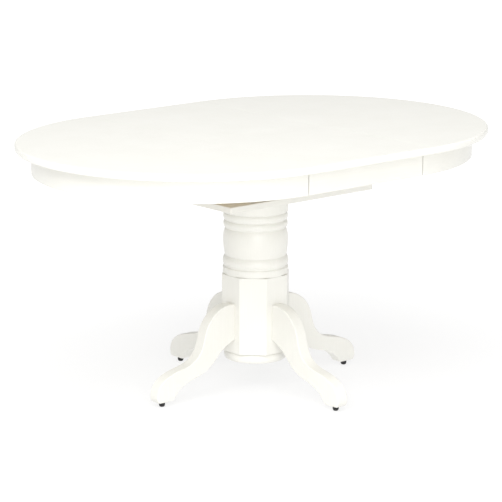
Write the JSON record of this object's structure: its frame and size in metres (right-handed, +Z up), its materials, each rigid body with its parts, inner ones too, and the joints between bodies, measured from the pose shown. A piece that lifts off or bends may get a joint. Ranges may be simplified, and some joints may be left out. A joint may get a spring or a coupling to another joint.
{
  "type": "pedestal extension table",
  "caption": "Oval dining table: two round-ended halves on geared slides with a folding leaf between them, on a turned and octagonal pedestal with S-shaped legs.",
  "frame": {"origin": "on the floor, under the axis of the column", "axes": "+X along the table's length, +Y across it towards the far side, +Z up"},
  "size_m": [1.472, 1.042, 0.762],
  "materials": {
    "painted_wood": "satin cream-white paint",
    "raw_wood": "unpainted rubberwood",
    "zinc_steel": "zinc plated",
    "brass": "brass",
    "nylon": "natural nylon",
    "black_plastic": "moulded"
  },
  "bodies": {
    "pedestal": {"base_ring": "painted_wood", "pedestal_block": "painted_wood", "turned_column": "painted_wood", "mounting_plate": "painted_wood", "leg_left": "painted_wood", "leg_near": "painted_wood", "leg_right": "painted_wood", "leg_far": "painted_wood", "leaf_near": "painted_wood", "leaf_apron_near": "painted_wood", "bearer_left": "raw_wood", "bearer_right": "raw_wood", "fixed_rail_near": "raw_wood", "fixed_rail_far": "raw_wood", "gear_beam": "raw_wood", "column_bolt_1": "zinc_steel", "column_bolt_2": "zinc_steel", "column_bolt_3": "zinc_steel", "column_bolt_4": "zinc_steel", "leg_bolt_left_lower": "zinc_steel", "leg_bolt_left_upper": "zinc_steel", "leg_bolt_near_lower": "zinc_steel", "leg_bolt_near_upper": "zinc_steel", "leg_bolt_right_lower": "zinc_steel", "leg_bolt_right_upper": "zinc_steel", "leg_bolt_far_lower": "zinc_steel", "leg_bolt_far_upper": "zinc_steel", "gear_axle": "zinc_steel", "leaf_pivot_pin": "zinc_steel", "hinge_barrel_near_left": "brass", "hinge_barrel_near_right": "brass", "glide_left": "black_plastic", "glide_near": "black_plastic", "glide_right": "black_plastic", "glide_far": "black_plastic"},
    "left_half": {"top_left": "painted_wood", "apron_left": "painted_wood", "slide_left_near": "raw_wood", "slide_left_far": "raw_wood", "rack_left": "raw_wood", "align_pin_left_1": "nylon", "align_pin_left_2": "nylon"},
    "right_half": {"top_right": "painted_wood", "apron_right": "painted_wood", "slide_right_near": "raw_wood", "slide_right_far": "raw_wood", "rack_right": "raw_wood", "align_pin_right_1": "nylon", "align_pin_right_2": "nylon"},
    "pinion": {"equalizer_pinion": "nylon"},
    "folding_panel": {"leaf_far": "painted_wood", "leaf_apron_far": "painted_wood", "hinge_barrel_far_left": "brass", "hinge_barrel_far_right": "brass"},
    "rest_left_near": {"leaf_rest_left_near": "raw_wood"},
    "rest_left_far": {"leaf_rest_left_far": "raw_wood"},
    "rest_right_near": {"leaf_rest_right_near": "raw_wood"},
    "rest_right_far": {"leaf_rest_right_far": "raw_wood"}
  },
  "joints": [
    {"name": "left_half_slide", "type": "slide", "parent": "pedestal", "child": "left_half", "axis": [-1, 0, 0], "range_m": [0, 0.03]},
    {"name": "right_half_slide", "type": "slide", "parent": "pedestal", "child": "right_half", "axis": [1, 0, 0], "range_m": [0, 0.03]},
    {"name": "pinion_turn", "type": "hinge", "parent": "pedestal", "child": "pinion", "pos_m": [0, 0, 0.729], "axis": [0, 0, 1], "range_deg": [0, 96]},
    {"name": "leaf_fold", "type": "hinge", "parent": "pedestal", "child": "folding_panel", "pos_m": [0, 0, 0.7622], "axis": [1, 0, 0], "range_deg": [0, 180]},
    {"name": "rest_left_near_turn", "type": "hinge", "parent": "left_half", "child": "rest_left_near", "pos_m": [-0.243, -0.39, 0.737], "axis": [0, 0, 1], "range_deg": [0, 90]},
    {"name": "rest_left_far_turn", "type": "hinge", "parent": "left_half", "child": "rest_left_far", "pos_m": [-0.243, 0.39, 0.737], "axis": [0, 0, -1], "range_deg": [0, 90]},
    {"name": "rest_right_near_turn", "type": "hinge", "parent": "right_half", "child": "rest_right_near", "pos_m": [0.243, -0.39, 0.737], "axis": [0, 0, -1], "range_deg": [0, 90]},
    {"name": "rest_right_far_turn", "type": "hinge", "parent": "right_half", "child": "rest_right_far", "pos_m": [0.243, 0.39, 0.737], "axis": [0, 0, 1], "range_deg": [0, 90]}
  ],
  "couplings": [
    {"joint": "right_half_slide", "follows": "left_half_slide", "ratio": 1},
    {"joint": "pinion_turn", "follows": "left_half_slide", "rad_per_m": 55.556}
  ]
}
